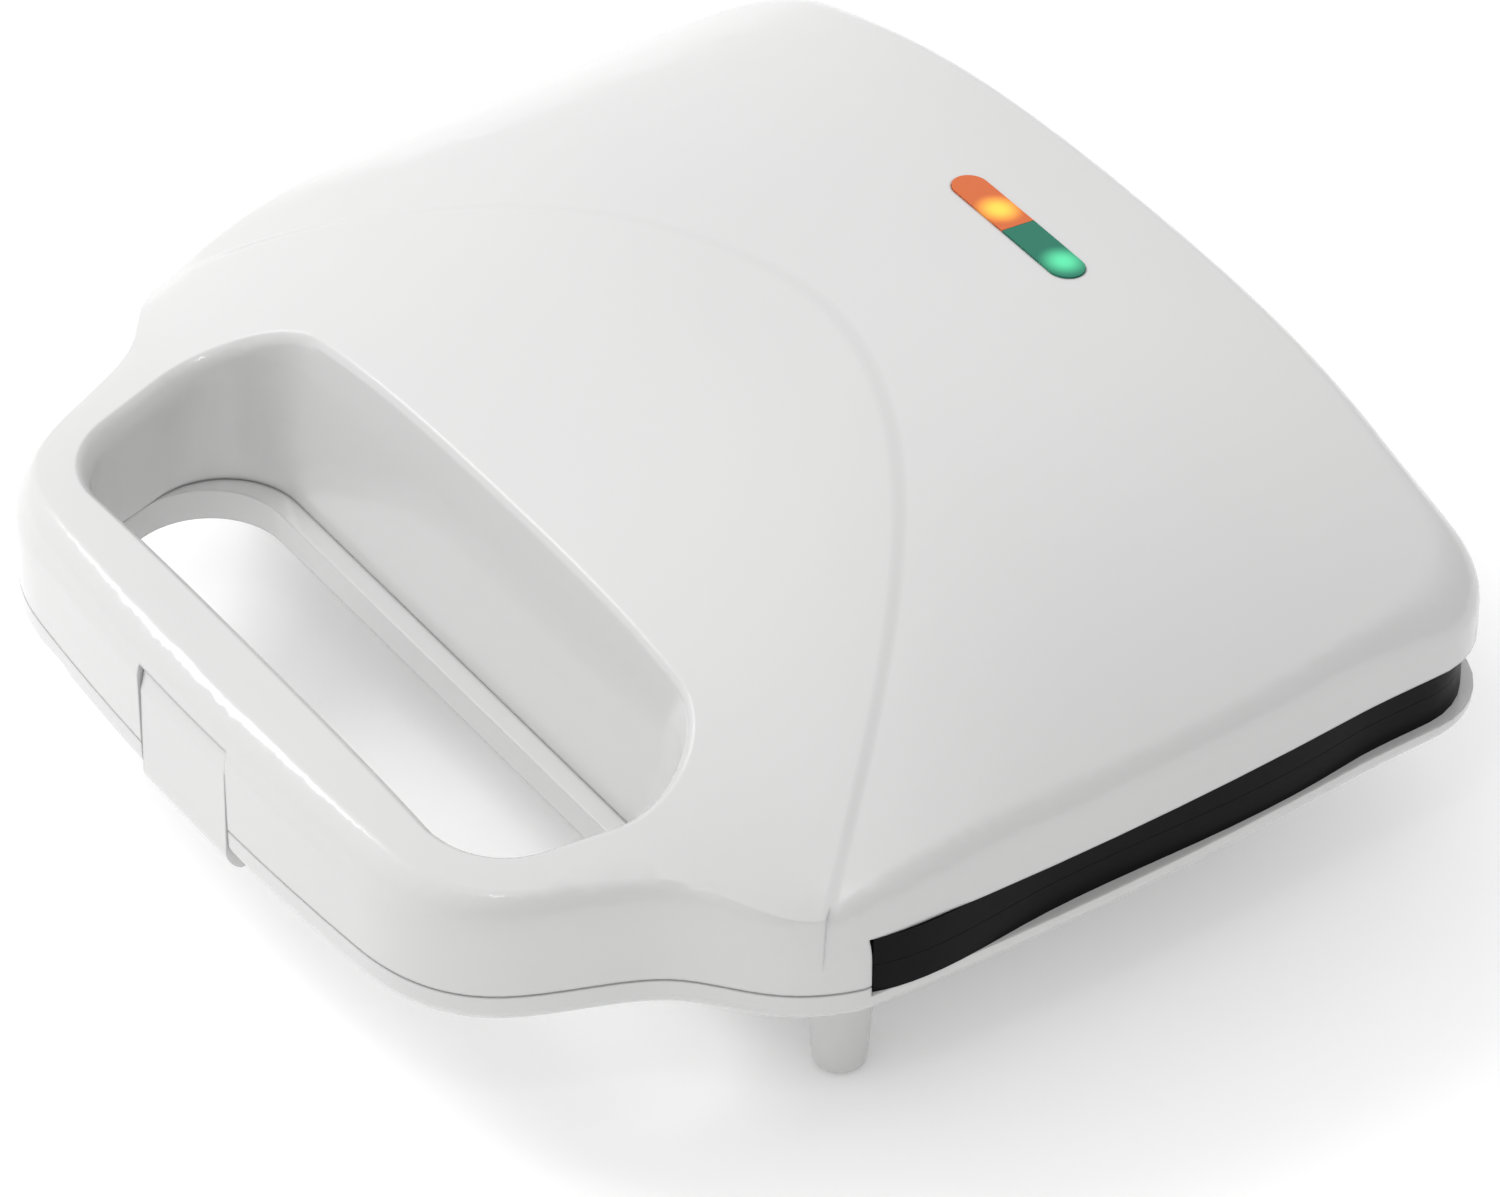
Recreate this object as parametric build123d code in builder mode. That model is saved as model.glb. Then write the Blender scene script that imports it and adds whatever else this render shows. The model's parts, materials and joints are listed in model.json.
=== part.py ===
from build123d import *
from math import sqrt
import os

# Two-slice sandwich maker, all sizes in millimetres.
# X runs across the width, the handle is at -Y, the hinge at +Y, and Z is up.
# The origin is on the surface it stands on, at the middle of the whole part.

# Overall size
width = 238.0
depth = 222.0
body_height = 85.0
handle_height = 61.0
parting_height = 40.0

# Outline seen from above: in from the widest side, and back from the handle's front
bar_end_inset = 64.0
bar_bow = 2.5
handle_corner_inset = 38.5
handle_corner_back = 16.0
waist_inset = 24.5
waist_back = 44.0
shoulder_inset = 2.5
shoulder_back = 71.0
shoulder_direction = (0.30, 0.95)
side_bow = 2.5
rear_corner_radius = 38.0
rear_bow = 3.0

# Moulded covers
wall = 2.6
seam_height = 36.0
seam_gap = 0.4
rim_gap = 13.0
edge_radius = 10.0
body_shoulder_height = 57.0
handle_shoulder_height = 50.0
crown_power = 3.0
crown_back = 131.0
rear_fall = 0.8
side_blend = 24.0
handle_underside = 28.5
base_edge_radius = 4.0
front_cut_back = 72.5
lid_cavity_back = 83.0
cavity_inset = 5.5

# How far cutting shapes run past what they cut
overcut = 1.0
cut_margin = 10.0

# Crease across the lid: the part behind it lies lower
crease_step = 0.6
crease_back = 144.0
crease_reach = 17.0
crease_scale = 48.0
crease_power = 1.8

# Bowl of the base, under the rim
bowl_top_inset = 6.0
bowl_floor_height = 12.5
bowl_slope_inset = 24.0
bowl_top_radius = 36.0
bowl_floor_radius = 20.0
bowl_front_back = 65.0

# Finger opening through the handle
opening_front_inset = 51.0
opening_rear_inset = 40.0
opening_front_back = 18.0
opening_rear_back = 61.0
opening_corner_radius = 17.0
opening_lean = 12.0
opening_flare = 3.0
lip_radius = 4.0
base_ledge = 4.0

# Cast plates
plate_side_margin = 21.0
plate_front_margin = 12.5
plate_rear_margin = 11.0
plate_taper = 6.0
plate_corner_radius = 12.0
plate_inset = 1.6
plate_front_gap = 0.8
plate_gap = 0.05
plate_wall = 3.0
pocket_depth = 11.0
pocket_web = 7.0
pocket_margin = 6.0
pocket_corner_radius = 5.0
pocket_draft = 4.0

# Heaters, reflectors and electrical pieces
heater_radius = 3.2
heater_side_margin = 24.0
heater_end_margin = 23.0
heater_bend_radius = 16.0
heater_clearance = 0.1
heater_pin_length = 10.0
reflector_gap = 1.0
reflector_thickness = 0.8
reflector_side_margin = 14.0
reflector_lip = 3.0
post_radius = 4.0
post_x = 40.0
post_setback = 15.0
thermostat_radius = 9.0
fuse_radius = 2.2
fuse_length = 14.0
terminal_length = 26.0
terminal_depth = 7.0
terminal_height = 6.0

# Screws
screw_radius = 1.5
screw_head_radius = 3.0
screw_head_height = 1.8
screw_slot_length = 4.4
screw_slot_width = 0.8
screw_length = 9.0
boss_radius = 4.5
base_boss_bottom = 28.6
flange_screw_inset = 9.5
flange_screw_front = 14.5
flange_screw_rear = 35.0

# Hinge
hinge_setback = 4.0
plate_hinge_gap = 6.0
knuckle_radius = 4.2
hinge_pin_radius = 2.0
hinge_x = 70.0
knuckle_length = 14.0
ear_length = 4.0
hinge_side_gap = 0.4
running_gap = 0.05

# Latch clip on the handle
latch_width = 29.0
latch_side_gap = 0.5
latch_top = 54.0
latch_top_lean = 1.6
latch_bottom = 25.0
latch_thickness = 3.0
latch_barrel_radius = 3.2
latch_pin_radius = 1.5
latch_pivot_height = 49.5
latch_pivot_back = 6.5
latch_hook_reach = 3.5
latch_hook_height = 2.6
latch_clearance = 0.5
latch_pin_length = 37.0
spring_room = 9.0
spring_wire_radius = 0.4
spring_turns = 4

# Feet
foot_front_inset = 21.0
foot_front_setback = 6.5
foot_rear_inset = 44.0
foot_rear_setback = 41.0
foot_edge_radius = 0.8
foot_top_radius = 7.0
foot_bottom_radius = 5.2
foot_top_height = 29.5
foot_bottom_height = 0.8
pad_radius = 3.8
pad_height = 2.6

# Indicator lamps
lens_length = 38.0
lens_width = 7.5
lens_setback = 32.0
lens_frame_height = 6.0
lens_proud = 0.3
lens_clearance = 0.1
lamp_radius = 2.4
lamp_length = 12.0
holder_width = 15.0
holder_height = 8.0
holder_gap = 0.3
holder_clearance = 1.0

# Mains lead inlet in the rear of the base
inlet_x = -60.0
inlet_radius = 4.0
inlet_height = 20.0
inlet_block_width = 22.0
inlet_block_depth = 14.0

# Heights and places that follow from the sizes above
front_y = -depth / 2
rear_y = depth / 2
half_width = width / 2
bar_half_width = half_width - bar_end_inset
handle_corner_x = half_width - handle_corner_inset
handle_corner_y = front_y + handle_corner_back
waist_x = half_width - waist_inset
waist_y = front_y + waist_back
shoulder_x = half_width - shoulder_inset
shoulder_y = front_y + shoulder_back
crown_y = front_y + crown_back
front_cut_y = front_y + front_cut_back
lid_cavity_y = front_y + lid_cavity_back
crease_y = front_y + crease_back
bowl_front_y = front_y + bowl_front_back
opening_front_y = front_y + opening_front_back
opening_rear_y = front_y + opening_rear_back
rim_height = parting_height + rim_gap / 2
base_rim_height = parting_height - rim_gap / 2
hinge_y = rear_y - hinge_setback
plate_rear_y = hinge_y - plate_hinge_gap
base_top_height = seam_height - seam_gap
plate_front_y = front_cut_y + plate_front_margin
plate_depth = plate_rear_y - plate_rear_margin - plate_front_y
plate_middle_y = plate_front_y + plate_depth / 2
plate_width = width - 2 * plate_side_margin
lower_plate_top = parting_height - plate_gap
plate_bottom = lower_plate_top - pocket_depth - plate_wall
lens_y = rear_y - lens_setback
reflector_half_depth = lens_y - holder_width / 2 - holder_clearance - plate_middle_y
reflector_width = plate_width - 2 * reflector_side_margin
heater_half_x = plate_width / 2 - heater_side_margin
heater_half_y = plate_depth / 2 - heater_end_margin
heater_height = plate_bottom - heater_clearance - heater_radius
reflector_top = heater_height - heater_radius - reflector_gap
reflector_bottom = reflector_top - reflector_thickness
plate_flange = rim_gap / 2 - plate_gap
pivot_y = front_y + latch_pivot_back
latch_slot_depth = latch_pivot_back + latch_barrel_radius + latch_clearance
latch_top_reach = latch_pivot_back - latch_top_lean
latch_top_rise = latch_top - latch_pivot_height
latch_swing = sqrt(latch_top_reach ** 2 + latch_top_rise ** 2) + latch_clearance
bowl_inner_inset = wall + 1.0
tall = body_height + depth / 10
terminal_y = plate_middle_y + thermostat_radius + 2 * terminal_depth
post_screw_length = plate_bottom - reflector_top
post_y = heater_half_y - post_setback
post_places = [(x, plate_middle_y + y) for x in (-post_x, post_x) for y in (-post_y, post_y)]
thermostat_height = plate_bottom - reflector_top - 0.2
flange_screw_x = half_width - flange_screw_inset
flange_screw_y = (front_cut_y + flange_screw_front, rear_y - flange_screw_rear)
flange_screw_places = [(x, y) for x in (-flange_screw_x, flange_screw_x) for y in flange_screw_y]
front_foot = (half_width - foot_front_inset, front_cut_y + foot_front_setback)
rear_foot = (half_width - foot_rear_inset, rear_y - foot_rear_setback)
foot_places = [(side * x, y) for side in (-1, 1) for x, y in (front_foot, rear_foot)]
ear_offset = knuckle_length / 2 + hinge_side_gap + ear_length / 2
ear_places = [x + step for x in (-hinge_x, hinge_x) for step in (-ear_offset, ear_offset)]
os.makedirs("parts", exist_ok=True)


def ease(share):
    """Smooth step from 0 to 1."""
    share = min(max(share, 0.0), 1.0)
    return share * share * (3.0 - 2.0 * share)


def outline_edges():
    """Right half of the plan outline, from the front middle round to the rear middle."""
    side_x = width / 2 - side_bow / 2
    side_end_y = rear_y - rear_bow - rear_corner_radius
    corner_end_x = side_x - rear_corner_radius
    diagonal = rear_corner_radius * (1 - sqrt(0.5))
    with BuildLine(mode=Mode.PRIVATE):
        bar = ThreePointArc((0, front_y), (bar_half_width / 2, front_y + bar_bow / 4),
                            (bar_half_width, front_y + bar_bow))
        flank = Spline(bar @ 1, (handle_corner_x, handle_corner_y), (waist_x, waist_y),
                       (shoulder_x, shoulder_y), tangents=(bar % 1, shoulder_direction))
        side = ThreePointArc(flank @ 1, (width / 2, (shoulder_y + side_end_y) / 2),
                             (side_x, side_end_y))
        corner = Spline(side @ 1, (side_x - diagonal, rear_y - rear_bow - diagonal),
                        (corner_end_x, rear_y - rear_bow), tangents=(side % 1, (-1, 0.06)))
        rear = ThreePointArc(corner @ 1, (corner_end_x / 2, rear_y - rear_bow / 4), (0, rear_y))
    return [bar, flank, side, corner, rear]


def outline(inset=0.0):
    """Sketch of the plan outline, moved inwards by inset."""
    half = outline_edges()
    with BuildSketch(Plane.XY) as plan:
        with BuildLine():
            if inset > 0:
                inner = []
                for edge in half:
                    for share in (0.0, 1 / 3, 2 / 3):
                        inwards = (edge % share).rotate(Axis.Z, 90)
                        inner.append(edge @ share + inwards * inset)
                Spline(*inner, (0, rear_y - inset), tangents=((1, 0), (-1, 0)))
            else:
                add(half)
            mirror(about=Plane.YZ)
        make_face()
    return plan.sketch


def half_width_at(y):
    """Rough half width of the outline, for the fall of the top towards its sides."""
    if y < waist_y:
        corner_x = handle_corner_x + (waist_x - handle_corner_x) / 2
        return corner_x + (waist_x - corner_x) * max(0.0, (y - front_y) / waist_back)
    share = (y - waist_y) / (front_cut_y + side_blend - waist_y)
    return waist_x + (half_width - waist_x) * ease(share)


def top_height(x, y):
    """Height of the lid's top: low over the handle, crowned over the body."""
    rise = ease((y - front_y - edge_radius / 2) / (crown_y - front_y - edge_radius / 2))
    middle = handle_height + (body_height - handle_height) * rise
    shoulder = handle_shoulder_height + (body_shoulder_height - handle_shoulder_height) * rise
    across = abs(x) / half_width_at(y)
    along = max(0.0, (y - crown_y) / (rear_y - crown_y))
    fall = (1 - across ** crown_power) * (1 - rear_fall * along ** crown_power)
    return shoulder + (middle - shoulder) * fall


def crease_line(x):
    """How far back the crease lies at x."""
    return crease_y - crease_reach * (abs(x) / crease_scale) ** crease_power


def above_top(drop=0.0, steps=16):
    """Solid that fills everything above the lid's top surface, lowered by drop."""
    reach_x = half_width + cut_margin
    reach_y = depth / 2 + cut_margin
    places_x = [reach_x * (2 * i / steps - 1) for i in range(steps + 1)]
    places_y = [reach_y * (2 * i / steps - 1) for i in range(steps + 1)]
    points = [[Vector(x, y, top_height(x, y) - drop) for y in places_y] for x in places_x]
    skin = Face.make_surface_from_array_of_points(points, tol=0.05, min_deg=3, max_deg=5)
    return extrude(skin, amount=tall, dir=(0, 0, 1))


def level_edges(edges, lowest):
    """Edges above a height that don't run straight up."""
    return [e for e in edges if e.center().Z > lowest and abs(e.tangent_at(0.5).Z) < 0.9]


def bowl_plan(height, inset, radius):
    """Outline of the base bowl at one height, ready to loft."""
    bowl_width = width - side_bow - 2 * (bowl_top_inset + inset)
    bowl_rear_y = rear_y - rear_bow - bowl_top_inset - inset
    bowl_start_y = bowl_front_y + inset
    with BuildSketch(Plane.XY.offset(height)) as plan:
        with Locations((0, (bowl_start_y + bowl_rear_y) / 2)):
            RectangleRounded(bowl_width, bowl_rear_y - bowl_start_y, radius)
    return plan.sketch.face()


def opening_plan(height, lean, flare):
    """Outline of the finger opening at one height, wider towards the body."""
    near = half_width - opening_front_inset + flare
    far = half_width - opening_rear_inset + flare
    rear = opening_rear_y + lean
    with BuildSketch(Plane.XY.offset(height)) as plan:
        Polygon((-near, opening_front_y), (near, opening_front_y), (far, rear), (-far, rear),
                align=None)
        fillet(plan.vertices(), radius=opening_corner_radius)
    return plan.sketch.face()


over_lid = above_top()
over_rear = above_top(drop=crease_step)
over_cavity = above_top(drop=wall + crease_step)
over_lens = above_top(drop=crease_step - lens_proud)
holder_rear = top_height(lens_length / 2 + wall, lens_y + holder_width / 2)
lens_bottom = holder_rear - wall - crease_step - holder_gap

# Hollow of the lid over the upper plate, less its four screw bosses
with BuildPart() as lid_cavity:
    with BuildSketch(Plane.XY.offset(rim_height - overcut)):
        add(outline(cavity_inset))
        with Locations((0, lid_cavity_y)):
            Rectangle(width + 2 * cut_margin, depth, align=(Align.CENTER, Align.MIN), mode=Mode.INTERSECT)
    extrude(amount=tall)
    add(over_cavity, mode=Mode.SUBTRACT)
    with BuildSketch(Plane.XY.offset(rim_height)):
        with Locations(flange_screw_places):
            Circle(boss_radius)
    extrude(amount=tall, mode=Mode.SUBTRACT)


# Outer form of the lid, before its crease
with BuildPart() as lid_form:
    with BuildSketch(Plane.XY.offset(seam_height)):
        add(outline())
    extrude(amount=tall)
    add(over_lid, mode=Mode.SUBTRACT)
    fillet(level_edges(lid_form.edges(), seam_height + overcut), radius=edge_radius)

# Everything behind the crease, which is an arc over the lid from side to side
with BuildPart() as behind_crease:
    with BuildSketch(Plane.XY.offset(seam_height)):
        with BuildLine():
            reach = half_width + wall
            shares = [i / 6 - 1 for i in range(13)]
            crease = Spline(*[(share * reach, crease_line(share * reach)) for share in shares])
            Polyline(crease @ 1, (reach, rear_y + wall), (-reach, rear_y + wall), crease @ 0)
        make_face()
    extrude(amount=tall)

# The same outer form, set down, for the part behind the crease
with BuildPart() as rear_form:
    add(lid_form.part.moved(Location((0, 0, -crease_step))))
    add(behind_crease.part, mode=Mode.INTERSECT)


# Lid: one moulding with the upper half of the handle
with BuildPart() as lid_cover:
    add(lid_form.part)
    add(behind_crease.part, mode=Mode.SUBTRACT)
    add(rear_form.part)
    # The sides and the rear stop at the rim, and only the front reaches the seam
    with BuildSketch(Plane.XY.offset(seam_height)):
        with Locations((0, front_cut_y)):
            Rectangle(width + 2 * cut_margin, depth, align=(Align.CENTER, Align.MIN))
    extrude(amount=rim_height - seam_height, mode=Mode.SUBTRACT)
    # Finger opening, leaning back to the top
    loft([opening_plan(seam_height - overcut, 0.0, 0.0),
          opening_plan(body_height, opening_lean, opening_flare)], mode=Mode.SUBTRACT)
    fillet(level_edges(lid_cover.edges(Select.LAST), seam_height + 5), radius=lip_radius)
    add(lid_cavity.part, mode=Mode.SUBTRACT)
    with Locations(*[(x, y, rim_height) for x, y in flange_screw_places]):
        Cylinder(screw_radius, screw_length - plate_flange, mode=Mode.SUBTRACT,
                 align=(Align.CENTER, Align.CENTER, Align.MIN))
    # Slot for the latch, open at the front and below
    with BuildSketch(Plane.XY.offset(seam_height - overcut)):
        with Locations((0, front_y - overcut)):
            Rectangle(latch_width + 2 * latch_side_gap, latch_slot_depth + overcut,
                      align=(Align.CENTER, Align.MIN))
    extrude(amount=latch_top + latch_clearance - seam_height + overcut, mode=Mode.SUBTRACT)
    with BuildSketch(Plane.YZ.offset(-latch_pin_length / 2)):
        with Locations((pivot_y, latch_pivot_height)):
            Circle(latch_pin_radius)
    extrude(amount=latch_pin_length, mode=Mode.SUBTRACT)
    # Room over the pivot for the clip's top to swing
    with BuildSketch(Plane.YZ.offset(-latch_width / 2 - latch_side_gap)):
        with Locations((pivot_y, latch_pivot_height)):
            Circle(latch_swing)
    extrude(amount=latch_width + 2 * latch_side_gap, mode=Mode.SUBTRACT)
    # Window for the two lenses
    with BuildSketch(Plane.XY.offset(lens_bottom - overcut)):
        with Locations((0, lens_y)):
            SlotOverall(lens_length + 2 * lens_clearance, lens_width + 2 * lens_clearance)
    extrude(amount=tall, mode=Mode.SUBTRACT)
    # Lens frame that the lamp holder seats against
    with BuildSketch(Plane.XY.offset(lens_bottom)):
        with Locations((0, lens_y)):
            Rectangle(lens_length + 2 * wall, holder_width)
            SlotOverall(lens_length + 2 * lens_clearance, lens_width + 2 * lens_clearance,
                        mode=Mode.SUBTRACT)
    extrude(amount=lens_frame_height)
    add(over_rear, mode=Mode.SUBTRACT)
    # Hinge knuckles, hanging from the rear rim
    for side in (-1, 1):
        knuckle_start = side * hinge_x - knuckle_length / 2
        with BuildSketch(Plane.YZ.offset(knuckle_start)) as knuckle:
            with Locations((hinge_y, parting_height)):
                Circle(knuckle_radius)
            with Locations((hinge_y, parting_height)):
                Rectangle(2 * knuckle_radius, rim_height + wall - parting_height,
                          align=(Align.CENTER, Align.MIN))
        extrude(amount=knuckle_length)
        with BuildSketch(Plane.YZ.offset(knuckle_start - overcut)):
            with Locations((hinge_y, parting_height)):
                Circle(hinge_pin_radius + running_gap)
        extrude(amount=knuckle_length + 2 * overcut, mode=Mode.SUBTRACT)
lid_cover.part.label = "lid_cover"
export_step(lid_cover.part, "parts/lid_cover.step")


# Base: a shallow bowl on four legs, with the lower half of the handle
with BuildPart() as base_cover:
    with BuildSketch(Plane.XY.offset(handle_underside)):
        add(outline())
    extrude(amount=base_top_height - handle_underside)
    fillet(level_edges(base_cover.edges().group_by(Axis.Z)[0], 0), radius=base_edge_radius)
    with BuildSketch(Plane.XY.offset(base_rim_height)):
        with Locations((0, front_cut_y)):
            Rectangle(width + 2 * cut_margin, depth, align=(Align.CENTER, Align.MIN))
    extrude(amount=tall, mode=Mode.SUBTRACT)
    # Outside of the bowl
    loft([bowl_plan(bowl_floor_height, bowl_slope_inset, bowl_floor_radius),
          bowl_plan(handle_underside + overcut, 0.0, bowl_top_radius)])
    # Legs
    for x, y in foot_places:
        with BuildSketch(Plane.XY.offset(foot_bottom_height)):
            with Locations((x, y)):
                Circle(foot_bottom_radius)
        with BuildSketch(Plane.XY.offset(foot_top_height)):
            with Locations((x, y)):
                Circle(foot_top_radius)
        loft()
        fillet(base_cover.edges(Select.LAST).sort_by(Axis.Z)[0], radius=foot_edge_radius)
    # Inside of the bowl
    loft([bowl_plan(bowl_floor_height + wall, bowl_slope_inset + wall, bowl_floor_radius - wall),
          bowl_plan(base_rim_height + wall, bowl_inner_inset, bowl_top_radius - bowl_inner_inset)],
         mode=Mode.SUBTRACT)
    # Bosses for the plate screws, and the mains inlet block
    with BuildSketch(Plane.XY.offset(base_boss_bottom)):
        with Locations(flange_screw_places):
            Circle(boss_radius)
    extrude(amount=base_rim_height - base_boss_bottom)
    with Locations(*[(x, y, base_rim_height) for x, y in flange_screw_places]):
        Cylinder(screw_radius, screw_length - plate_flange, mode=Mode.SUBTRACT,
                 align=(Align.CENTER, Align.CENTER, Align.MAX))
    with Locations((inlet_x, rear_y - wall, inlet_height)):
        Box(inlet_block_width, inlet_block_depth, inlet_block_width / 1.6,
            align=(Align.CENTER, Align.MAX, Align.CENTER))
    with Locations(Location((inlet_x, rear_y, inlet_height), (90, 0, 0))):
        Cylinder(inlet_radius, 3 * inlet_block_depth, mode=Mode.SUBTRACT)
    # Finger opening, with the ledge that stands forward of the lid's wall
    extrude(opening_plan(0.0, -base_ledge, 0.0), amount=tall, dir=(0, 0, 1), mode=Mode.SUBTRACT)
    # Notch that the latch hooks under
    with BuildSketch(Plane.XY.offset(handle_underside - overcut)):
        with Locations((0, front_y - overcut)):
            Rectangle(latch_width + 2 * latch_side_gap, latch_thickness + latch_clearance + overcut,
                      align=(Align.CENTER, Align.MIN))
    extrude(amount=tall, mode=Mode.SUBTRACT)
    # Hinge ears, two each side
    for middle in ear_places:
        with BuildSketch(Plane.YZ.offset(middle - ear_length / 2)):
            with Locations((hinge_y, parting_height)):
                Circle(knuckle_radius)
            with Locations((hinge_y, parting_height)):
                Rectangle(2 * knuckle_radius, parting_height - base_rim_height + wall,
                          align=(Align.CENTER, Align.MAX))
        extrude(amount=ear_length)
        with BuildSketch(Plane.YZ.offset(middle - ear_length / 2 - overcut)):
            with Locations((hinge_y, parting_height)):
                Circle(hinge_pin_radius)
        extrude(amount=ear_length + 2 * overcut, mode=Mode.SUBTRACT)
    # Sockets for the foot pads
    for x, y in foot_places:
        with Locations((x, y, 0)):
            Cylinder(pad_radius, pad_height, mode=Mode.SUBTRACT,
                     align=(Align.CENTER, Align.CENTER, Align.MIN))
base_cover.part.label = "base_cover"
export_step(base_cover.part, "parts/base_cover.step")


# Cast plates with four triangular pockets each
def pocket_corners(side, half):
    """Corners of one triangular pocket, before its web and corners are taken off."""
    near = side * pocket_web / 2
    far = side * (plate_width / 2 - pocket_margin)
    front = plate_middle_y - plate_depth / 2 + pocket_margin
    rear = plate_middle_y + plate_depth / 2 - pocket_margin
    third = (far, front) if half == 0 else (near, rear)
    return [(near, front), (far, rear), third]


def pocket_plan(side, half, height, draw_in):
    """Outline of one pocket at one height, drawn in by its draft."""
    with BuildSketch(Plane.XY.offset(height)) as plan:
        Polygon(*pocket_corners(side, half), align=None)
        offset(amount=-pocket_web / 2 - draw_in, kind=Kind.INTERSECTION, mode=Mode.REPLACE)
        fillet(plan.vertices(), radius=pocket_corner_radius)
    return plan.sketch.face()


with BuildPart() as lower_plate:
    with BuildSketch(Plane.XY.offset(base_rim_height)):
        add(outline(plate_inset))
        with Locations((0, front_cut_y + plate_front_gap)):
            Rectangle(width, plate_rear_y - front_cut_y - plate_front_gap,
                      align=(Align.CENTER, Align.MIN), mode=Mode.INTERSECT)
    extrude(amount=lower_plate_top - base_rim_height)
    with BuildSketch(Plane.XY.offset(plate_bottom)):
        with Locations((0, plate_middle_y)):
            RectangleRounded(plate_width - 2 * plate_taper, plate_depth - 2 * plate_taper,
                             plate_corner_radius - plate_taper / 2)
    with BuildSketch(Plane.XY.offset(base_rim_height + plate_flange / 2)):
        with Locations((0, plate_middle_y)):
            RectangleRounded(plate_width, plate_depth, plate_corner_radius)
    loft()
    for side in (-1, 1):
        for half in (0, 1):
            loft([pocket_plan(side, half, lower_plate_top - pocket_depth, pocket_draft),
                  pocket_plan(side, half, lower_plate_top, 0.0)], mode=Mode.SUBTRACT)
    # Posts that carry the reflector
    with BuildSketch(Plane.XY.offset(reflector_top)):
        with Locations(*post_places):
            Circle(post_radius)
    extrude(amount=plate_bottom - reflector_top)
    with Locations(*[(x, y, reflector_top) for x, y in post_places]):
        Cylinder(screw_radius, post_screw_length, mode=Mode.SUBTRACT,
                 align=(Align.CENTER, Align.CENTER, Align.MIN))
    with Locations(*[(x, y, lower_plate_top) for x, y in flange_screw_places]):
        CounterBoreHole(screw_radius, screw_head_radius, screw_head_height)
lower_plate.part.label = "lower_plate"

with BuildPart() as lower_heater:
    heater_y = plate_middle_y
    with BuildLine(Plane.XY.offset(heater_height)) as heater_path:
        FilletPolyline((heater_half_x / 3, heater_y + heater_half_y),
                       (heater_half_x, heater_y + heater_half_y),
                       (heater_half_x, heater_y - heater_half_y),
                       (-heater_half_x, heater_y - heater_half_y),
                       (-heater_half_x, heater_y + heater_half_y),
                       (-heater_half_x / 3, heater_y + heater_half_y),
                       radius=heater_bend_radius)
    with BuildSketch(Plane(origin=heater_path.line @ 0, z_dir=heater_path.line % 0)):
        Circle(heater_radius)
    sweep()
    # Cold pins at the two ends
    with BuildSketch(Plane.YZ.offset(-heater_half_x / 3)):
        with Locations((heater_y + heater_half_y, heater_height)):
            Circle(heater_radius / 2)
    extrude(amount=heater_pin_length)
    with BuildSketch(Plane.YZ.offset(heater_half_x / 3 - heater_pin_length)):
        with Locations((heater_y + heater_half_y, heater_height)):
            Circle(heater_radius / 2)
    extrude(amount=heater_pin_length)
lower_heater.part.label = "lower_heater"

with BuildPart() as lower_reflector:
    with BuildSketch(Plane.XY.offset(reflector_bottom)):
        with Locations((0, plate_middle_y)):
            RectangleRounded(reflector_width, 2 * reflector_half_depth, plate_corner_radius)
    extrude(amount=reflector_lip)
    offset(amount=-reflector_thickness, openings=lower_reflector.faces().sort_by(Axis.Z)[-1],
           kind=Kind.INTERSECTION)
    with Locations(*[(x, y, reflector_top) for x, y in post_places]):
        Hole(screw_radius)
lower_reflector.part.label = "lower_reflector"

with BuildPart() as lower_reflector_screws:
    for x, y in post_places:
        with Locations((x, y, reflector_bottom)):
            Cylinder(screw_head_radius, screw_head_height,
                     align=(Align.CENTER, Align.CENTER, Align.MAX))
        with Locations((x, y, reflector_bottom)):
            Cylinder(screw_radius, post_screw_length,
                     align=(Align.CENTER, Align.CENTER, Align.MIN))
lower_reflector_screws.part.label = "lower_reflector_screws"

with BuildPart() as lower_plate_screws:
    for x, y in flange_screw_places:
        with Locations((x, y, lower_plate_top - screw_head_height)):
            Cylinder(screw_head_radius, screw_head_height,
                     align=(Align.CENTER, Align.CENTER, Align.MIN))
        with Locations((x, y, lower_plate_top - screw_head_height)):
            Cylinder(screw_radius, screw_length - screw_head_height,
                     align=(Align.CENTER, Align.CENTER, Align.MAX))
        with Locations((x, y, lower_plate_top)):
            Box(screw_slot_length, screw_slot_width, screw_slot_width,
                align=(Align.CENTER, Align.CENTER, Align.MAX), mode=Mode.SUBTRACT)
lower_plate_screws.part.label = "lower_plate_screws"

# The upper half repeats the lower one, mirrored in the parting plane
parting = Plane.XY.offset(parting_height)
halves = [lower_plate, lower_heater, lower_reflector, lower_reflector_screws, lower_plate_screws]
for lower in halves:
    with BuildPart() as upper:
        mirror(lower.part, about=parting)
    upper.part.label = lower.part.label.replace("lower", "upper")
    export_step(lower.part, "parts/" + lower.part.label + ".step")
    export_step(upper.part, "parts/" + upper.part.label + ".step")


# Electrical pieces of the base
with BuildPart() as thermostat:
    with BuildSketch(Plane.XY.offset(plate_bottom)):
        with Locations((0, plate_middle_y)):
            Circle(thermostat_radius)
    extrude(amount=-thermostat_height)
    with BuildSketch(Plane.XY.offset(plate_bottom)):
        with Locations((0, plate_middle_y)):
            SlotOverall(3 * thermostat_radius, thermostat_radius)
    extrude(amount=-reflector_thickness)
    chamfer(thermostat.edges().sort_by(Axis.Z)[0], length=0.8)
thermostat.part.label = "thermostat"
export_step(thermostat.part, "parts/thermostat.step")

with BuildPart() as thermal_fuse:
    with Locations(Location((-post_x / 2, plate_middle_y - post_y, plate_bottom - fuse_radius),
                            (0, 90, 0))):
        Cylinder(fuse_radius, fuse_length)
        Cylinder(fuse_radius / 4, fuse_length * 1.6)
thermal_fuse.part.label = "thermal_fuse"
export_step(thermal_fuse.part, "parts/thermal_fuse.step")

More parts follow.
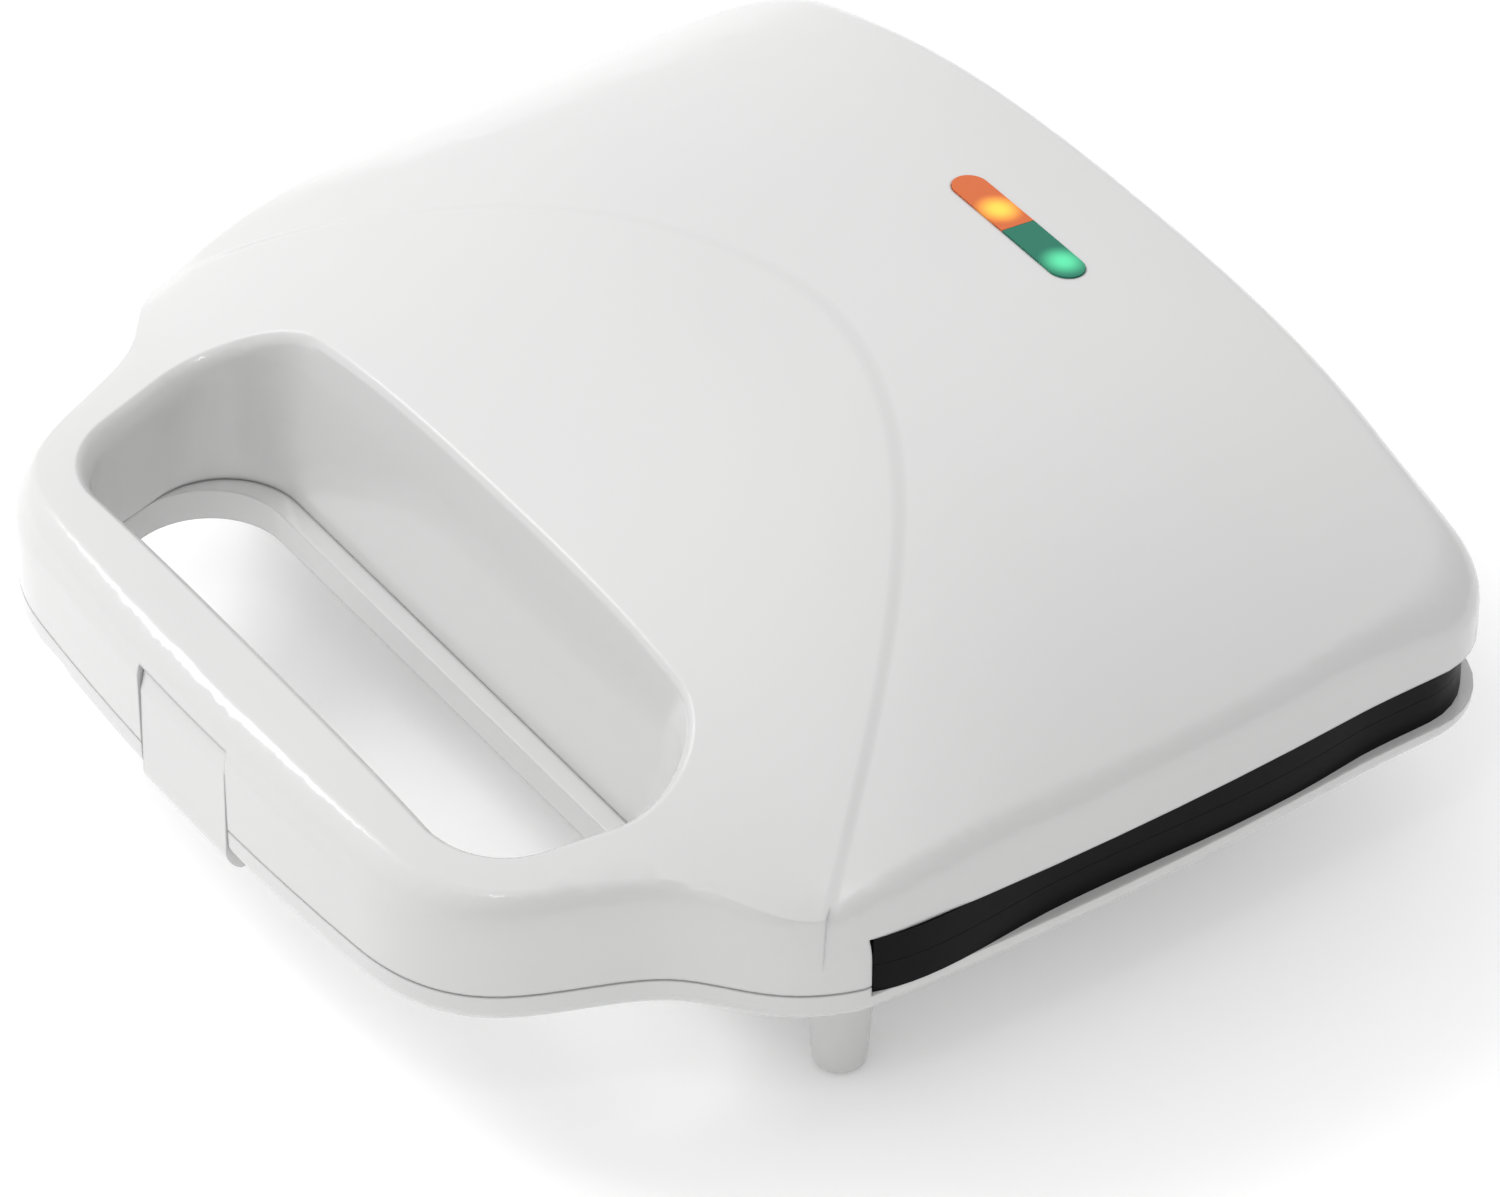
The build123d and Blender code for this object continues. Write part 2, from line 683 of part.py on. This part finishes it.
with BuildPart() as terminal_block:
    with Locations((0, terminal_y, reflector_top)):
        Box(terminal_length, terminal_depth, terminal_height,
            align=(Align.CENTER, Align.CENTER, Align.MIN))
    with Locations((0, terminal_y, reflector_top + terminal_height)):
        with GridLocations(terminal_length / 3, 1, 3, 1):
            Hole(screw_radius, depth=terminal_height / 2)
terminal_block.part.label = "terminal_block"
export_step(terminal_block.part, "parts/terminal_block.step")

# Hinge pins, pressed into the ears and loose in the knuckle
for name, side in (("left_hinge_pin", -1), ("right_hinge_pin", 1)):
    pin_length = 2 * ear_offset + ear_length
    with BuildPart() as hinge_pin:
        with BuildSketch(Plane.YZ.offset(side * hinge_x - pin_length / 2)):
            with Locations((hinge_y, parting_height)):
                Circle(hinge_pin_radius)
        extrude(amount=pin_length)
        chamfer(hinge_pin.edges().filter_by(GeomType.CIRCLE), length=0.3)
    hinge_pin.part.label = name
    export_step(hinge_pin.part, "parts/" + name + ".step")


# Latch clip: a curved blade on a barrel, hooked under the handle of the base
with BuildPart() as latch_clip:
    with BuildSketch(Plane.YZ.offset(-latch_width / 2)):
        with BuildLine():
            face = Polyline((front_y + latch_top_lean, latch_top),
                            (front_y + latch_top_lean / 4, latch_top - 5.0))
            lower_face = Line(face @ 1, (front_y, latch_bottom + 6.0))
            toe = ThreePointArc(lower_face @ 1, (front_y + 0.9, latch_bottom + 2.0),
                                (front_y + 3.0, latch_bottom))
            hook = Polyline(toe @ 1, (front_y + latch_thickness + latch_hook_reach, latch_bottom),
                            (front_y + latch_thickness + latch_hook_reach,
                             latch_bottom + latch_hook_height),
                            (front_y + latch_thickness, latch_bottom + latch_hook_height),
                            (front_y + latch_thickness, latch_top - 1.0),
                            (front_y + latch_thickness, latch_top), face @ 0)
        make_face()
    extrude(amount=latch_width)
    for start in (-latch_width / 2, spring_room / 2):
        with BuildSketch(Plane.YZ.offset(start)):
            with Locations((pivot_y, latch_pivot_height)):
                Circle(latch_barrel_radius)
            with Locations((front_y + latch_thickness / 2, latch_pivot_height)):
                Rectangle(latch_pivot_back - latch_thickness / 2, 2 * latch_barrel_radius - 1,
                          align=(Align.MIN, Align.CENTER))
        extrude(amount=(latch_width - spring_room) / 2)
    with BuildSketch(Plane.YZ.offset(-latch_width)):
        with Locations((pivot_y, latch_pivot_height)):
            Circle(latch_pin_radius + running_gap)
    extrude(amount=2 * latch_width, mode=Mode.SUBTRACT)
latch_clip.part.label = "latch_clip"
export_step(latch_clip.part, "parts/latch_clip.step")

with BuildPart() as latch_pin:
    with BuildSketch(Plane.YZ.offset(-latch_pin_length / 2)):
        with Locations((pivot_y, latch_pivot_height)):
            Circle(latch_pin_radius)
    extrude(amount=latch_pin_length)
latch_pin.part.label = "latch_pin"
export_step(latch_pin.part, "parts/latch_pin.step")

with BuildPart() as latch_spring:
    spring_radius = latch_pin_radius + spring_wire_radius + 0.15
    spring_pitch = 3 * spring_wire_radius
    spring_start = (-spring_turns * spring_pitch / 2, pivot_y, latch_pivot_height)
    with BuildLine() as spring_path:
        Helix(spring_pitch, spring_turns * spring_pitch, spring_radius, center=spring_start,
              direction=(1, 0, 0))
    with BuildSketch(Plane(origin=spring_path.line @ 0, z_dir=spring_path.line % 0)):
        Circle(spring_wire_radius)
    sweep(is_frenet=True)
latch_spring.part.label = "latch_spring"
export_step(latch_spring.part, "parts/latch_spring.step")


# Foot pads
pad_names = ("front_left_foot_pad", "rear_left_foot_pad", "front_right_foot_pad",
             "rear_right_foot_pad")
for name, (x, y) in zip(pad_names, foot_places):
    with BuildPart() as pad:
        with Locations((x, y, 0)):
            Cylinder(pad_radius, pad_height, align=(Align.CENTER, Align.CENTER, Align.MIN))
        chamfer(pad.edges().sort_by(Axis.Z)[0], length=0.3)
    pad.part.label = name
    export_step(pad.part, "parts/" + name + ".step")


# Two lenses in the lid, with a lamp holder and two lamps under them
for name, side in (("power_lens", -1), ("ready_lens", 1)):
    with BuildPart() as lens:
        with BuildSketch(Plane.XY.offset(lens_bottom)):
            with Locations((0, lens_y)):
                SlotOverall(lens_length, lens_width)
            with Locations((side * lens_clearance / 2, lens_y)):
                Rectangle(lens_length, lens_width * 2, mode=Mode.INTERSECT,
                          align=(Align.MIN if side > 0 else Align.MAX, Align.CENTER))
        extrude(amount=tall)
        add(over_lens, mode=Mode.SUBTRACT)
    lens.part.label = name
    export_step(lens.part, "parts/" + name + ".step")

with BuildPart() as lamp_holder:
    with Locations((0, lens_y, lens_bottom)):
        Box(lens_length + 2 * wall, holder_width, holder_height,
            align=(Align.CENTER, Align.CENTER, Align.MAX))
        Box(lens_length - 2 * wall, 2 * lamp_radius, holder_height - wall,
            align=(Align.CENTER, Align.CENTER, Align.MAX), mode=Mode.SUBTRACT)
lamp_holder.part.label = "lamp_holder"
export_step(lamp_holder.part, "parts/lamp_holder.step")

for name, side in (("power_lamp", -1), ("ready_lamp", 1)):
    with BuildPart() as lamp:
        with Locations(Location((side * lens_length / 4, lens_y,
                                 lens_bottom - holder_height + wall + lamp_radius), (0, 90, 0))):
            Cylinder(lamp_radius, lamp_length)
        fillet(lamp.edges().filter_by(GeomType.CIRCLE), radius=lamp_radius * 0.7)
    lamp.part.label = name
    export_step(lamp.part, "parts/" + name + ".step")
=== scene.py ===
"""Looks of the white sandwich maker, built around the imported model. Lengths are in metres."""

import json
import math

import bmesh
import bpy
import numpy as np
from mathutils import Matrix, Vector


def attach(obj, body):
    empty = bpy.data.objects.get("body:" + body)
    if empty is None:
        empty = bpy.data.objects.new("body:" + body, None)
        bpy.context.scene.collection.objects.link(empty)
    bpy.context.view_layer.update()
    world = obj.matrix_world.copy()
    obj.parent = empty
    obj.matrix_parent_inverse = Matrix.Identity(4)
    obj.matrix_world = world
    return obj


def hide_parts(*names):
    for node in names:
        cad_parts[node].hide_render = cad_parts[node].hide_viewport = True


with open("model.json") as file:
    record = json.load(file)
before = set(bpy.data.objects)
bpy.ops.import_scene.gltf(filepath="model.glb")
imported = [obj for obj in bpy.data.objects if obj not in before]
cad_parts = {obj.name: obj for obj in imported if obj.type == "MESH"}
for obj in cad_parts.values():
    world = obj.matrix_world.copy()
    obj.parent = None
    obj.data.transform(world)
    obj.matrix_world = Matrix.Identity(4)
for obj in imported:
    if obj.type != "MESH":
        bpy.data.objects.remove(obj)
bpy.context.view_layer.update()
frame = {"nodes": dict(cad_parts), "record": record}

# Camera: a long lens, seen from the handle's right-hand side
PHOTO_WIDTH = 1500
PHOTO_FOCAL_PIXELS = 8000.0
SENSOR_WIDTH = 36.0
CLIP_END = 20.0
CAMERA_AZIMUTH = 55.0
CAMERA_ELEVATION = 40.3
CAMERA_DISTANCE = 1.5094
CAMERA_TARGET = Vector((0.0200, 0.0025, 0.0400))


def make_camera():
    """Camera at the photograph's angle."""
    data = bpy.data.cameras.new("camera")
    data.sensor_width = SENSOR_WIDTH
    data.lens = PHOTO_FOCAL_PIXELS / PHOTO_WIDTH * SENSOR_WIDTH
    data.clip_end = CLIP_END
    camera = bpy.data.objects.new("camera", data)
    bpy.context.scene.collection.objects.link(camera)
    azimuth = math.radians(CAMERA_AZIMUTH)
    elevation = math.radians(CAMERA_ELEVATION)
    back = Vector((math.sin(azimuth) * math.cos(elevation),
                   -math.cos(azimuth) * math.cos(elevation), math.sin(elevation)))
    camera.location = CAMERA_TARGET + back * CAMERA_DISTANCE
    camera.rotation_euler = back.to_track_quat("Z", "Y").to_euler()
    bpy.context.scene.camera = camera


make_camera()
bpy.context.scene.view_settings.view_transform = "Standard"


# Materials
WHITE = (0.60, 0.60, 0.595)
WHITE_TONES = (0.590, 0.592, 0.592), (0.612, 0.610, 0.605)
WHITE_ROUGHNESS = 0.19, 0.25
WHITE_EDGE_RADIUS = 0.0009
WHITE_EDGE_SAMPLES = 6
NONSTICK = (0.004, 0.004, 0.0045)
NONSTICK_TONES = (0.003, 0.003, 0.0034), (0.006, 0.006, 0.0066)
NONSTICK_ROUGHNESS = 0.30, 0.42
NONSTICK_SPECULAR = 0.06
METAL_ROUGHNESS_SHARES = 0.8, 1.3
GRAIN_SHADE = 0.93
LENS_SPECULAR = 0.25
BLACK = (0.0, 0.0, 0.0)
GLOW_REACH = 0.0055
GLOW_CORE = 0.0005

# The crease: an arc with its rearmost point at CREASE_Y in the middle. It has run forward by
# CREASE_REACH where x is CREASE_SCALE, and it fades out down the sides.
CREASE_Y = 0.033
CREASE_REACH = 0.017
CREASE_SCALE = 0.048
CREASE_POWER = 1.8
CREASE_STEP = 0.00045
CREASE_SOFTNESS = 0.0022
CREASE_LOW_Z = 0.050
CREASE_FULL_Z = 0.062


def new_material(name, base, rough, metallic=0.0, coat=0.0, coat_rough=0.05):
    """Material with its flat values on the shader, its tree and the shader."""
    material = bpy.data.materials.new(name)
    material.use_nodes = True
    shader = material.node_tree.nodes["Principled BSDF"]
    shader.inputs["Base Color"].default_value = (*base, 1.0)
    shader.inputs["Roughness"].default_value = rough
    shader.inputs["Metallic"].default_value = metallic
    shader.inputs["Coat Weight"].default_value = coat
    shader.inputs["Coat Roughness"].default_value = coat_rough
    return material, material.node_tree, shader


def add_noise(tree, scale, detail=3.0):
    """Noise in object coordinates."""
    place = tree.nodes.new("ShaderNodeTexCoord")
    noise = tree.nodes.new("ShaderNodeTexNoise")
    noise.inputs["Scale"].default_value = scale
    noise.inputs["Detail"].default_value = detail
    tree.links.new(place.outputs["Object"], noise.inputs["Vector"])
    return noise


def link_bump(tree, shader, height, strength, distance):
    """Bump from a height socket. Returns its node."""
    bump = tree.nodes.new("ShaderNodeBump")
    bump.inputs["Strength"].default_value = strength
    bump.inputs["Distance"].default_value = distance
    tree.links.new(height, bump.inputs["Height"])
    tree.links.new(bump.outputs["Normal"], shader.inputs["Normal"])
    return bump


def link_range(tree, factor, target, ends):
    """Value between two ends, driven by a factor socket."""
    span = tree.nodes.new("ShaderNodeMapRange")
    span.inputs["To Min"].default_value, span.inputs["To Max"].default_value = ends
    tree.links.new(factor, span.inputs["Value"])
    tree.links.new(span.outputs["Result"], target)


def link_ramp(tree, factor, target, ends):
    """Colour between two ends, driven by a factor socket."""
    ramp = tree.nodes.new("ShaderNodeValToRGB")
    for element, colour in zip(ramp.color_ramp.elements, ends):
        element.color = (*colour, 1.0)
    tree.links.new(factor, ramp.inputs["Fac"])
    tree.links.new(ramp.outputs["Color"], target)


def add_math(tree, operation, first, second):
    """Maths node on a socket or a number."""
    node = tree.nodes.new("ShaderNodeMath")
    node.operation = operation
    for socket, value in zip(node.inputs, (first, second)):
        if isinstance(value, float):
            socket.default_value = value
        else:
            tree.links.new(value, socket)
    return node.outputs[0]


def crease_height(tree):
    """Height of the soft step that arcs over the lid: the front part lies a little higher."""
    place = tree.nodes.new("ShaderNodeTexCoord")
    apart = tree.nodes.new("ShaderNodeSeparateXYZ")
    tree.links.new(place.outputs["Object"], apart.inputs[0])
    aside = add_math(tree, "ABSOLUTE", apart.outputs["X"], 0.0)
    share = add_math(tree, "DIVIDE", aside, CREASE_SCALE)
    bend = add_math(tree, "MULTIPLY", add_math(tree, "POWER", share, CREASE_POWER), CREASE_REACH)
    behind = add_math(tree, "ADD", apart.outputs["Y"], bend)
    step = tree.nodes.new("ShaderNodeMapRange")
    step.interpolation_type = "SMOOTHSTEP"
    step.inputs["From Min"].default_value = CREASE_Y - CREASE_SOFTNESS
    step.inputs["From Max"].default_value = CREASE_Y + CREASE_SOFTNESS
    step.inputs["To Min"].default_value = CREASE_STEP
    step.inputs["To Max"].default_value = 0.0
    tree.links.new(behind, step.inputs["Value"])
    fade = tree.nodes.new("ShaderNodeMapRange")
    fade.inputs["From Min"].default_value = CREASE_LOW_Z
    fade.inputs["From Max"].default_value = CREASE_FULL_Z
    tree.links.new(apart.outputs["Z"], fade.inputs["Value"])
    return add_math(tree, "MULTIPLY", step.outputs["Result"], fade.outputs["Result"])


def white_plastic():
    """Glossy white moulding with the crease, softened edges and a trace of uneven tone."""
    material, tree, shader = new_material("white_plastic", WHITE, rough=0.22, coat=0.35,
                                          coat_rough=0.04)
    tone = add_noise(tree, scale=14.0)
    link_ramp(tree, tone.outputs["Fac"], shader.inputs["Base Color"], WHITE_TONES)
    soft = tree.nodes.new("ShaderNodeBevel")
    soft.samples = WHITE_EDGE_SAMPLES
    soft.inputs["Radius"].default_value = WHITE_EDGE_RADIUS
    bump = link_bump(tree, shader, crease_height(tree), strength=1.0, distance=1.0)
    tree.links.new(soft.outputs["Normal"], bump.inputs["Normal"])
    wave = add_noise(tree, scale=60.0, detail=1.0)
    link_range(tree, wave.outputs["Fac"], shader.inputs["Roughness"], WHITE_ROUGHNESS)
    return material


def nonstick():
    """Black non-stick coating with its fine pebbled grain."""
    material, tree, shader = new_material("nonstick", NONSTICK, rough=0.35)
    shader.inputs["Specular IOR Level"].default_value = NONSTICK_SPECULAR
    grain = add_noise(tree, scale=2600.0, detail=2.0)
    link_bump(tree, shader, grain.outputs["Fac"], strength=0.25, distance=0.00008)
    tone = add_noise(tree, scale=40.0)
    link_ramp(tree, tone.outputs["Fac"], shader.inputs["Base Color"], NONSTICK_TONES)
    link_range(tree, tone.outputs["Fac"], shader.inputs["Roughness"], NONSTICK_ROUGHNESS)
    return material


def metal(name, base, rough, scale):
    """Drawn or pressed metal with fine streaks."""
    material, tree, shader = new_material(name, base, rough, metallic=1.0)
    streak = add_noise(tree, scale, detail=4.0)
    ends = tuple(rough * share for share in METAL_ROUGHNESS_SHARES)
    link_range(tree, streak.outputs["Fac"], shader.inputs["Roughness"], ends)
    link_bump(tree, shader, streak.outputs["Fac"], strength=0.15, distance=0.00005)
    return material


def moulded(name, base, rough, scale=900.0):
    """Matt moulded plastic, rubber or ceramic with a fine grain."""
    material, tree, shader = new_material(name, base, rough)
    grain = add_noise(tree, scale, detail=2.0)
    low = tuple(GRAIN_SHADE * v for v in base)
    link_ramp(tree, grain.outputs["Fac"], shader.inputs["Base Color"], (low, base))
    link_bump(tree, shader, grain.outputs["Fac"], strength=0.2, distance=0.00006)
    return material


def lens(name, base, glow, glow_strength, spot):
    """Coloured plastic with a glow around one spot, where its lamp stands below."""
    material, tree, shader = new_material(name, base, rough=0.2)
    shader.inputs["Specular IOR Level"].default_value = LENS_SPECULAR
    place = tree.nodes.new("ShaderNodeTexCoord")
    apart = tree.nodes.new("ShaderNodeVectorMath")
    apart.operation = "DISTANCE"
    apart.inputs[1].default_value = spot
    tree.links.new(place.outputs["Object"], apart.inputs[0])
    near = tree.nodes.new("ShaderNodeMapRange")
    near.interpolation_type = "SMOOTHSTEP"
    near.inputs["From Min"].default_value = GLOW_REACH
    near.inputs["From Max"].default_value = GLOW_CORE
    tree.links.new(apart.outputs["Value"], near.inputs["Value"])
    link_ramp(tree, near.outputs["Result"], shader.inputs["Emission Color"], (BLACK, glow))
    shader.inputs["Emission Strength"].default_value = glow_strength
    return material


FINISHES = {
    "white_plastic": white_plastic(),
    "nonstick": nonstick(),
    "heater_steel": metal("heater_steel", (0.30, 0.28, 0.27), rough=0.45, scale=300.0),
    "sheet_metal": metal("sheet_metal", (0.78, 0.78, 0.78), rough=0.25, scale=200.0),
    "screw_steel": metal("screw_steel", (0.62, 0.62, 0.60), rough=0.28, scale=500.0),
    "thermostat_body": moulded("thermostat_body", (0.78, 0.75, 0.68), rough=0.7),
    "terminal_nylon": moulded("terminal_nylon", (0.72, 0.72, 0.69), rough=0.5),
    "pad_rubber": moulded("pad_rubber", (0.36, 0.36, 0.35), rough=0.8),
    "orange_lens": lens("orange_lens", (0.62, 0.13, 0.03), glow=(0.9, 0.62, 0.05),
                        glow_strength=1.0, spot=(-0.0062, 0.0790, 0.0824)),
    "green_lens": lens("green_lens", (0.005, 0.16, 0.10), glow=(0.12, 0.75, 0.36),
                       glow_strength=0.9, spot=(0.0138, 0.0795, 0.0823)),
    "lamp_glass": moulded("lamp_glass", (0.85, 0.45, 0.25), rough=0.2),
}


def dress_nodes():
    """Gives every CAD node the finish of its material slot."""
    slots = {row["node"]: row["material_slot"] for row in frame["record"]["subparts"]}
    for name, node in frame["nodes"].items():
        node.data.materials.clear()
        node.data.materials.append(FINISHES[slots[name]])


dress_nodes()


# The photograph's body is fuller at its shoulders and squarer at its rear corners than the
# solids. These are the solids' places along y, half widths along x, and heights.
FRONT_Y = -0.111
WAIST_Y = -0.067
CROWN_Y = 0.020
REAR_Y = 0.111
RISE_START_Y = FRONT_Y + 0.005
HANDLE_LENGTH = 0.044
FLARE_LENGTH = 0.0525
HANDLE_FRONT_HALF = 0.0875
HANDLE_WIDENING = 0.007
WAIST_HALF = 0.0945
BODY_WIDENING = 0.0245
HANDLE_TOP = 0.061
BODY_TOP = 0.085
MODEL_FORM = {"handle": 0.050, "body": 0.057, "fall": 0.80}
PHOTO_FORM = {"handle": 0.0565, "body": 0.0595, "fall": 0.33}

# The lid's lower face: it steps up where the black band begins
LID_FLOOR_Z = 0.038
LID_FLOOR_STEP = 0.0085
LID_FLOOR_STEP_Y = -0.060
LID_FLOOR_STEP_RUN = 0.020

# Rear corners: centre of the solids' round, its radius and the photograph's
CORNER_X = 0.07975
CORNER_Y = 0.070
CORNER_RADIUS = 0.038
SQUARE_RADIUS = 0.017

FULL_SHARE = 1.05
TINY = 1e-6
WELD_DISTANCE = 0.00001
SHARP_ANGLE = math.radians(32.0)


def ease(share):
    """Smooth step from 0 to 1."""
    share = np.clip(share, 0.0, 1.0)
    return share * share * (3.0 - 2.0 * share)


def lid_top(x, y, form):
    """Height of the lid's top for one form: its shoulder heights and its fall to the rear."""
    rise = ease((y - RISE_START_Y) / (CROWN_Y - RISE_START_Y))
    middle = HANDLE_TOP + (BODY_TOP - HANDLE_TOP) * rise
    shoulder = form["handle"] + (form["body"] - form["handle"]) * rise
    widening = np.clip((y - FRONT_Y) / HANDLE_LENGTH, 0.0, None)
    front_half = HANDLE_FRONT_HALF + HANDLE_WIDENING * widening
    body_half = WAIST_HALF + BODY_WIDENING * ease((y - WAIST_Y) / FLARE_LENGTH)
    across = np.abs(x) / np.where(y < WAIST_Y, front_half, body_half)
    along = np.clip((y - CROWN_Y) / (REAR_Y - CROWN_Y), 0.0, None)
    fall = 1 - form["fall"] * along ** 3
    return shoulder + (middle - shoulder) * (1 - across ** 3) * fall


def square_corner(x, y):
    """Moves points of the two rear corners outwards, onto a smaller radius."""
    run_x = np.clip(np.abs(x) - CORNER_X, 0.0, None)
    run_y = np.clip(y - CORNER_Y, 0.0, None)
    reach = np.hypot(run_x, run_y)
    turn = np.arctan2(run_y, run_x)
    inner = CORNER_RADIUS - SQUARE_RADIUS
    along = inner * (np.cos(turn) + np.sin(turn))
    under_root = along ** 2 - 2 * inner ** 2 + SQUARE_RADIUS ** 2
    round_reach = along + np.sqrt(np.maximum(under_root, 0.0))
    edge = CORNER_RADIUS / np.maximum(np.maximum(np.cos(turn), np.sin(turn)), TINY)
    short = CORNER_RADIUS * np.minimum(np.tan(turn), 1 / np.maximum(np.tan(turn), TINY))
    edge = np.where(short > inner, round_reach, edge)
    share = np.clip(reach / CORNER_RADIUS, 0.0, FULL_SHARE)
    grow = 1 + (edge / CORNER_RADIUS - 1) * share ** 2
    grow = np.where((run_x > 0) & (run_y > 0), grow, 1.0)
    new_x = np.where(run_x > 0, CORNER_X + run_x * grow, np.abs(x))
    new_y = np.where(run_y > 0, CORNER_Y + run_y * grow, y)
    return np.sign(x) * new_x, new_y


def join_surfaces(mesh):
    """Welds the model's faces along their borders, and keeps only real edges sharp."""
    work = bmesh.new()
    work.from_mesh(mesh)
    bmesh.ops.remove_doubles(work, verts=work.verts, dist=WELD_DISTANCE)
    work.to_mesh(mesh)
    work.free()
    if "custom_normal" in mesh.attributes:
        mesh.attributes.remove(mesh.attributes["custom_normal"])
    mesh.shade_smooth()
    mesh.set_sharp_from_angle(angle=SHARP_ANGLE)
    mesh.update()


def fit_to_photo(name, body, lifted):
    """A copy of one node with the photograph's corners and, where lifted, its lid height."""
    node = frame["nodes"][name]
    piece = node.copy()
    piece.data = node.data.copy()
    piece.name = "shaped_" + name
    bpy.context.scene.collection.objects.link(piece)
    count = len(piece.data.vertices)
    places = np.empty(count * 3)
    piece.data.vertices.foreach_get("co", places)
    places = places.reshape(count, 3)
    x, y, z = places.T.copy()
    new_x, new_y = square_corner(x, y)
    if lifted:
        step = ease((y - LID_FLOOR_STEP_Y) / LID_FLOOR_STEP_RUN)
        floor_z = LID_FLOOR_Z + LID_FLOOR_STEP * step
        old_top = lid_top(x, y, MODEL_FORM)
        share = np.clip((z - floor_z) / (old_top - floor_z), 0.0, FULL_SHARE)
        z = z + (lid_top(new_x, new_y, PHOTO_FORM) - old_top) * share
    piece.data.vertices.foreach_set("co", np.column_stack([new_x, new_y, z]).ravel())
    join_surfaces(piece.data)
    weighted = piece.modifiers.new("even_normals", "WEIGHTED_NORMAL")
    weighted.keep_sharp = True
    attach(piece, body)
    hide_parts(name)


SHAPED = (("lid_cover", "lid", True), ("base_cover", "base", False),
          ("upper_plate", "lid", False), ("lower_plate", "base", False),
          ("power_lens", "lid", True), ("ready_lens", "lid", True))
for shaped, shaped_body, is_lifted in SHAPED:
    fit_to_photo(shaped, shaped_body, is_lifted)


# Studio
FLOOR_SIZE = 12.0
FLOOR_COLOUR = (0.86, 0.86, 0.86)
FLOOR_ROUGHNESS = 0.9
FLOOR_GLOW = 0.16
WHITE_LIGHT = (1.0, 1.0, 1.0, 1.0)
BACKDROP = 1.0
DOME_BRIGHT_SIDE = (-0.60, -0.30, 0.75)
DOME_STRENGTH = 0.40, 1.25
DOME_DARK_END = -0.6


def area_lamp(name, place, aim, size, power):
    """Soft square lamp aimed at a point."""
    data = bpy.data.lights.new(name, "AREA")
    data.shape = "RECTANGLE"
    data.size = size
    data.size_y = size
    data.energy = power
    lamp = bpy.data.objects.new(name, data)
    lamp.location = place
    lamp.rotation_euler = (Vector(place) - Vector(aim)).to_track_quat("Z", "Y").to_euler()
    bpy.context.scene.collection.objects.link(lamp)


def make_world():
    """Plain white to the eye, and a soft dome for the light, brighter to one side."""
    world = bpy.data.worlds.new("world")
    world.use_nodes = True
    tree = world.node_tree
    background = tree.nodes["Background"]
    background.inputs["Color"].default_value = WHITE_LIGHT
    place = tree.nodes.new("ShaderNodeTexCoord")
    towards = tree.nodes.new("ShaderNodeVectorMath")
    towards.operation = "DOT_PRODUCT"
    towards.inputs[1].default_value = Vector(DOME_BRIGHT_SIDE).normalized()
    tree.links.new(place.outputs["Generated"], towards.inputs[0])
    dome = tree.nodes.new("ShaderNodeMapRange")
    dome.inputs["From Min"].default_value = DOME_DARK_END
    dome.inputs["To Min"].default_value, dome.inputs["To Max"].default_value = DOME_STRENGTH
    tree.links.new(towards.outputs["Value"], dome.inputs["Value"])
    ray = tree.nodes.new("ShaderNodeLightPath")
    choose = tree.nodes.new("ShaderNodeMix")
    choose.inputs["B"].default_value = BACKDROP
    tree.links.new(ray.outputs["Is Camera Ray"], choose.inputs["Factor"])
    tree.links.new(dome.outputs["Result"], choose.inputs["A"])
    tree.links.new(choose.outputs["Result"], background.inputs["Strength"])
    bpy.context.scene.world = world


def make_studio():
    """White floor without a visible edge, a soft key, a small window and a pale dome."""
    bpy.ops.mesh.primitive_plane_add(size=FLOOR_SIZE, location=(0, 0, 0))
    floor = bpy.context.object
    floor.name = "floor"
    material, _, shader = new_material("floor", FLOOR_COLOUR, FLOOR_ROUGHNESS)
    shader.inputs["Emission Color"].default_value = WHITE_LIGHT
    shader.inputs["Emission Strength"].default_value = FLOOR_GLOW
    floor.data.materials.append(material)
    make_world()
    area_lamp("key", (-1.05, -0.60, 1.20), aim=(0, 0, 0.04), size=0.55, power=8.6)
    area_lamp("window", (0.54, -0.50, 1.42), aim=(0.1, -0.04, 0.05), size=0.12, power=0.8)


make_studio()
